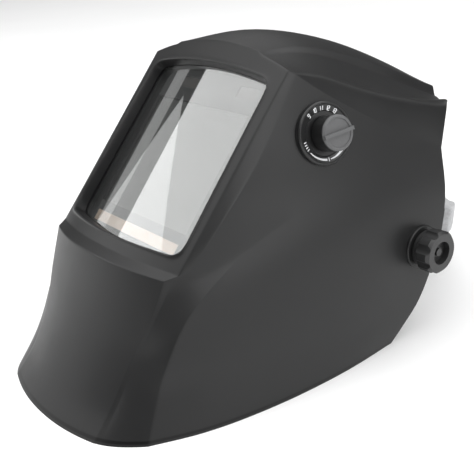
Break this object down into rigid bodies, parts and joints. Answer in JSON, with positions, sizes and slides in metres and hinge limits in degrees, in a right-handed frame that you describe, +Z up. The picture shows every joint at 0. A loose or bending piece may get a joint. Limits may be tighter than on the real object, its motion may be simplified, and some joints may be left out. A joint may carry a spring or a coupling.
{
  "type": "welding helmet",
  "caption": "Auto-darkening welding helmet: charcoal mask shell, curved window, side shade dial, pivot knobs and ratchet headgear.",
  "frame": {"origin": "on the surface the helmet stands on (z = 0), under the middle of its bounding box", "axes": "+Z up; the window faces -Y, so +Y is from the window towards the back of the head; +X is the wearer's left, the side with the shade dial"},
  "size_m": [0.2492, 0.3829, 0.2106],
  "materials": {
    "shell_plastic": "satin charcoal nylon",
    "lens_clear": "clear polycarbonate",
    "gasket_rubber": "soft black rubber",
    "holder_plastic": "matte black",
    "screw_steel": "zinc plated",
    "cartridge_plastic": "fine grain black",
    "filter_glass": "dark green-grey glass",
    "solar_cell": "copper-brown cells under a clear skin",
    "sensor_window": "dark red glossy windows",
    "board": "green solder mask",
    "spring_steel": "bright spring steel",
    "knob_grey": "grey grained plastic",
    "button_red": "red glossy cap",
    "cell_steel": "nickel plated",
    "dial_plastic": "satin black with white scale",
    "pot_metal": "plated steel",
    "knob_plastic": "fine grain dark grey",
    "bush_plastic": "slick black acetal",
    "washer_fibre": "dark fibre",
    "stud_plastic": "glass-filled grey nylon",
    "insert_brass": "turned brass",
    "headgear_plastic": "smooth black nylon",
    "rivet_steel": "plated rivets",
    "sweatband_fabric": "black terry over foam",
    "pad_fabric": "light grey brushed cloth over foam",
    "pinion_plastic": "natural acetal"
  },
  "bodies": {
    "helmet": {"shell": "shell_plastic", "cover_lens": "lens_clear", "lens_gasket": "gasket_rubber", "lens_holder": "holder_plastic", "holder_screws": "screw_steel", "filter_housing": "cartridge_plastic", "filter_glass": "filter_glass", "filter_back": "cartridge_plastic", "solar_panel": "solar_cell", "arc_sensors": "sensor_window", "circuit_board": "board", "inner_lens": "lens_clear", "retainer_springs": "spring_steel", "spring_screws": "screw_steel", "dial_plate": "dial_plastic", "shade_pot": "pot_metal", "pot_nut": "pot_metal", "pivot_bushing_left": "bush_plastic", "pivot_bushing_right": "bush_plastic", "friction_washer_left": "washer_fibre", "friction_washer_right": "washer_fibre"},
    "headgear": {"pivot_stud_left": "stud_plastic", "pivot_stud_right": "stud_plastic", "pivot_arm_left": "headgear_plastic", "pivot_arm_right": "headgear_plastic", "angle_plate_left": "bush_plastic", "angle_plate_right": "bush_plastic", "headband": "headgear_plastic", "arm_rivets": "rivet_steel", "crown_strap_front": "headgear_plastic", "crown_strap_rear": "headgear_plastic", "crown_bridge": "headgear_plastic", "strap_studs": "headgear_plastic", "sweatband": "sweatband_fabric"},
    "rear_band": {"rear_cradle": "headgear_plastic", "rear_pad": "pad_fabric", "ratchet_housing": "headgear_plastic", "housing_screws": "screw_steel"},
    "ratchet": {"ratchet_pinion": "pinion_plastic", "ratchet_knob": "knob_plastic"},
    "shade_control": {"shade_shaft": "pot_metal", "shade_knob": "knob_plastic"},
    "tension_left": {"tension_knob_left": "knob_plastic", "knob_insert_left": "insert_brass"},
    "tension_right": {"tension_knob_right": "knob_plastic", "knob_insert_right": "insert_brass"},
    "sensitivity": {"sensitivity_knob": "knob_grey"},
    "delay": {"delay_knob": "knob_grey"},
    "test": {"test_button": "button_red"},
    "battery": {"battery_tray": "knob_grey", "battery_cell": "cell_steel"}
  },
  "joints": [
    {"name": "headgear_tilt", "type": "hinge", "parent": "helmet", "child": "headgear", "pos_m": [0, 0.0535, 0.0665], "axis": [1, 0, 0], "range_deg": [-30, 38]},
    {"name": "rear_slide", "type": "slide", "parent": "headgear", "child": "rear_band", "axis": [0, -0.9781, 0.2079], "range_m": [0, 0.014]},
    {"name": "ratchet_turn", "type": "hinge", "parent": "rear_band", "child": "ratchet", "pos_m": [0, 0.1694, 0.04783], "axis": [0, 0.9781, -0.2079], "range_deg": [0, 200]},
    {"name": "shade_turn", "type": "hinge", "parent": "helmet", "child": "shade_control", "pos_m": [0.0834, -0.0117, 0.15655], "axis": [0.9649, -0.1356, 0.225], "range_deg": [-135, 135]},
    {"name": "tension_left_turn", "type": "hinge", "parent": "headgear", "child": "tension_left", "pos_m": [0, 0.0535, 0.0665], "axis": [1, 0, 0], "range_deg": [-90, 90]},
    {"name": "tension_right_turn", "type": "hinge", "parent": "headgear", "child": "tension_right", "pos_m": [0, 0.0535, 0.0665], "axis": [-1, 0, 0], "range_deg": [-90, 90]},
    {"name": "sensitivity_turn", "type": "hinge", "parent": "helmet", "child": "sensitivity", "pos_m": [0.038, -0.01639, 0.16812], "axis": [0, 0.7466, -0.6652], "range_deg": [-135, 135]},
    {"name": "delay_turn", "type": "hinge", "parent": "helmet", "child": "delay", "pos_m": [-0.038, -0.01639, 0.16812], "axis": [0, 0.7466, -0.6652], "range_deg": [-135, 135]},
    {"name": "test_press", "type": "slide", "parent": "helmet", "child": "test", "axis": [0, -0.7466, 0.6652], "range_m": [0, 0.001], "stiffness_N_per_m": 400, "springref_m": -0.0008},
    {"name": "battery_slide", "type": "slide", "parent": "helmet", "child": "battery", "axis": [0, 0.6652, 0.7466], "range_m": [0, 0.024]}
  ],
  "couplings": [
    {"joint": "ratchet_turn", "follows": "rear_slide", "rad_per_m": 243.1}
  ]
}
